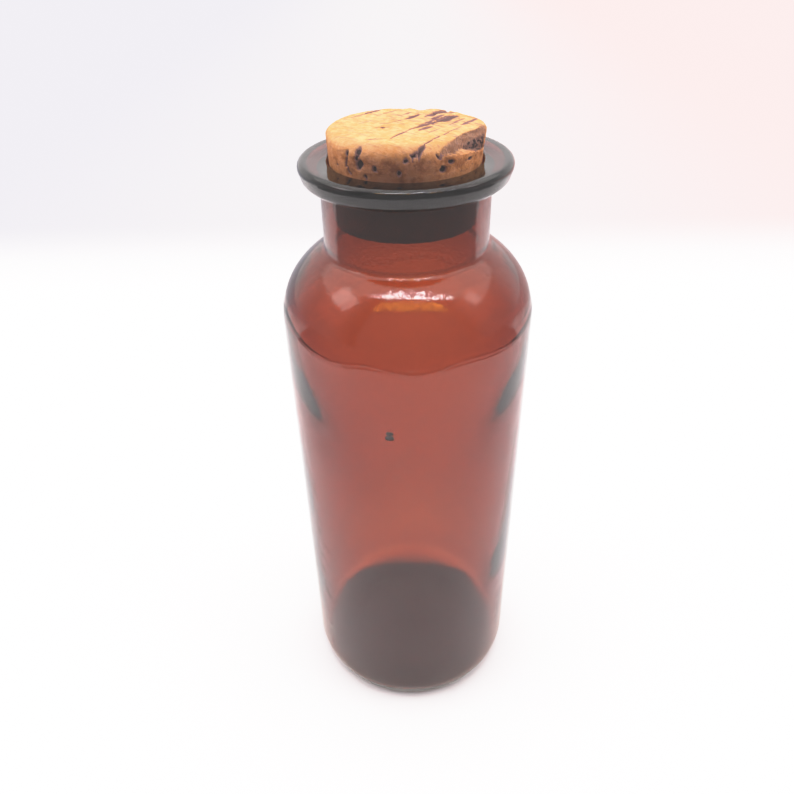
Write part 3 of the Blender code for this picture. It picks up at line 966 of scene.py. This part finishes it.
def seenInGlass(name, corners, light, dots=None, dotScale=1.0):
    # a shining panel that only mirrors in the glass
    material, tree = newMaterial(name + "Light")
    output = addNode(tree, "ShaderNodeOutputMaterial", 300, 0)
    if dots:
        place = addNode(tree, "ShaderNodeTexCoord", -900, 0).outputs["Object"]
        mask = mottle(tree, place, dotScale, -600, 0, 0.0, stretch=0.7, low=0.54, high=0.6)
        light = mixColour(tree, mask, light, dots, -300, 0)
    shader = addNode(tree, "ShaderNodeEmission", 0, 0, inputs={"Color": light})
    feed(tree, shader.outputs[0], output.inputs[0])
    made = flatPanel(name, corners, material)
    made.visible_camera = False
    made.visible_diffuse = False
    made.visible_transmission = False
    made.visible_shadow = False


def upright(left, right, y, low, high):
    return [(left, y, low), (right, y, low), (right, y, high), (left, y, high)]


def makeViewer(values):
    seenInGlass("viewer", upright(values["left"], values["right"], values["y"], 0,
                                  values["height"]), values["light"])


def makeDarkFloor(values):
    wide, far, side, back = (values[key] for key in ("wide", "far", "side", "back"))
    edge = [(-wide, far), (wide, far), (wide, back)]
    edge += [(side * math.cos(t), back + (back - values["front"]) * math.sin(t))
             for t in np.linspace(0, -math.pi, values["steps"])]
    edge += [(-wide, back)]
    seenInGlass("dark_floor", [(x, y, values["height"]) for x, y in edge], values["light"])


def makeHeelGlow(values, heelTable, radius):
    # painted light on the table round the heel, standing in for light the heel gathers, stronger
    # behind the bottle
    turns = np.arange(values["sides"]) * (360 / values["sides"])
    inner = radius - np.interp(turns, *zip(*heelTable))
    behind = smoothStep(np.sin(np.radians(turns)), *values["behindFrom"])
    rows, shine = [], []
    for step, level in values["profile"]:
        r = inner + (values["reach"] - inner) * step
        rows.append(np.stack([r * np.cos(np.radians(turns)), r * np.sin(np.radians(turns)),
                              0 * r + values["height"]], -1))
        shine.append(level * (values["front"] + (values["back"] - values["front"]) * behind))
    rings = np.array(rows) * mm
    count = rings.shape[1]
    faces = [(a * count + k, a * count + (k + 1) % count, (a + 1) * count + (k + 1) % count,
              (a + 1) * count + k) for a in range(len(rows) - 1) for k in range(count)]
    mesh = bpy.data.meshes.new("heel_glow")
    mesh.from_pydata(rings.reshape(-1, 3).tolist(), [], faces)
    layer = mesh.attributes.new("shine", 'FLOAT', 'POINT')
    layer.data.foreach_set("value", np.array(shine).ravel().astype(np.float32))
    material, tree = newMaterial("heelGlow")
    output = addNode(tree, "ShaderNodeOutputMaterial", 500, 0)
    level = addNode(tree, "ShaderNodeAttribute", -200, 0, attribute_name="shine").outputs[2]
    glow = addNode(tree, "ShaderNodeEmission", 0, 0, inputs={
        "Color": values["light"], "Strength": level})
    clear = addNode(tree, "ShaderNodeBsdfTransparent", 0, -150)
    both = addNode(tree, "ShaderNodeAddShader", 250, 0, inputs={
        0: glow.outputs[0], 1: clear.outputs[0]})
    feed(tree, both.outputs[0], output.inputs[0])
    mesh.materials.append(material)
    made = bpy.data.objects.new("heel_glow", mesh)
    bpy.context.scene.collection.objects.link(made)
    made.visible_camera = False
    made.visible_diffuse = False
    made.visible_shadow = False


def makeTube(values):
    middle = (values["left"] + values["right"]) / 2
    half = (values["right"] - values["left"]) / 2
    edge = [(x, values["y"] + values["bend"] * ((x - middle) / half) ** 2)
            for x in np.linspace(values["left"], values["right"], values["steps"])]
    near = [(x, y - values["width"] / 2, values["height"]) for x, y in edge]
    far = [(x, y + values["width"] / 2, values["height"]) for x, y in edge]
    seenInGlass("tube", near + far[::-1], values["between"], values["dots"],
                values["dotScale"])


def makeSparks(values):
    corners = upright(*(values[key] for key in ("left", "right", "y", "low", "high")))
    seenInGlass("sparks", corners, values["between"], values["dots"], values["dotScale"])


def makeCeiling(values):
    wide, near, far, height = (values[key] for key in ("wide", "near", "far", "height"))
    seenInGlass("ceiling", [(-wide, near, height), (wide, near, height), (wide, far, height),
                            (-wide, far, height)], values["light"])


def makeLamp(values):
    data = bpy.data.lights.new(values["name"], 'AREA')
    data.shape = 'RECTANGLE'
    data.size, data.size_y = values["size"]
    # an area lamp of this power shines with the wanted light per area and angle
    data.energy = values["light"] * math.pi * data.size * data.size_y
    made = bpy.data.objects.new(values["name"], data)
    bpy.context.scene.collection.objects.link(made)
    made.location = values["at"]
    aim = Vector(values["at"]) - Vector(lampTarget)
    made.rotation_euler = aim.to_track_quat('Z', 'Y').to_euler()
    made.visible_glossy = values["inGlass"]
    made.visible_diffuse = not values.get("onlyInGlass", False)


def makeRoom(values):
    world = bpy.data.worlds.new("room")
    bpy.context.scene.world = world
    world.use_nodes = True
    tree = world.node_tree
    tree.nodes.clear()
    output = addNode(tree, "ShaderNodeOutputWorld", 1000, 0)
    place = addNode(tree, "ShaderNodeTexCoord", -1000, 0).outputs["Generated"]
    axes = addNode(tree, "ShaderNodeSeparateXYZ", -800, 0, inputs={0: place}).outputs
    azimuth = mathNode(tree, 'ARCTAN2', axes[0], axes[1], -600, 200)
    turn = mathNode(tree, 'ABSOLUTE', azimuth, 0, -400, 200)
    elevation = mathNode(tree, 'ARCSINE', axes[2], 0, -600, -200)

    def between(value, ends, y):
        return ramp(tree, value, math.radians(ends[0]), math.radians(ends[1]), -200, y)

    colour = mixColour(tree, between(turn, values["wallEnd"], 400), values["behind"],
                       values["beside"], 0, 400)
    colour = mixColour(tree, between(elevation, values["wallTop"], 200), colour,
                       values["overhead"], 150, 300)
    colour = mixColour(tree, between(turn, values["frontStart"], 0), colour,
                       values["front"], 300, 200)
    colour = mixColour(tree, between(elevation, values["frontTop"], -200), colour,
                       values["overhead"], 450, 100)
    back = addNode(tree, "ShaderNodeBackground", 600, 0, inputs={
        "Color": colour, "Strength": values["strength"]})
    # seen directly, the room is as plain and pale as the backdrop
    plain = addNode(tree, "ShaderNodeBackground", 600, -200, inputs={
        "Color": values["plain"], "Strength": values["strength"]})
    direct = addNode(tree, "ShaderNodeLightPath", 600, 300).outputs["Is Camera Ray"]
    both = addNode(tree, "ShaderNodeMixShader", 800, 0, inputs={
        0: direct, 1: back.outputs[0], 2: plain.outputs[0]})
    feed(tree, both.outputs[0], output.inputs[0])


makeTable(tableTop)
makeViewer(viewer)
makeTube(tube)
makeSparks(sparks)
makeCeiling(ceiling)
makeDarkFloor(darkFloor)
makeHeelGlow(heelGlow, heelRounding, bottleShape["bodyRadius"])
for lamp in lamps:
    makeLamp(lamp)
makeRoom(room)
print("table and light made")

# the photograph is bright and a little hazy: no colour falls to black, pale ones merge
viewCurve = {
    "brightest": 1.5,
    "points": ((0.0, 0.028), (0.25, 0.27), (0.5, 0.56), (0.75, 0.845), (1.0, 0.955),
               (1.25, 0.99), (1.5, 1.0)),
}


def setView(values):
    view = bpy.context.scene.view_settings
    view.view_transform = "Standard"
    view.use_curve_mapping = True
    curve = view.curve_mapping
    curve.white_level = (values["brightest"],) * 3
    points = curve.curves[3].points
    for index, (value, shown) in enumerate(values["points"]):
        place = (value / values["brightest"], shown)
        if index in (0, 1):
            points[index].location = place
        else:
            points.new(*place)
    curve.update()


setView(viewCurve)
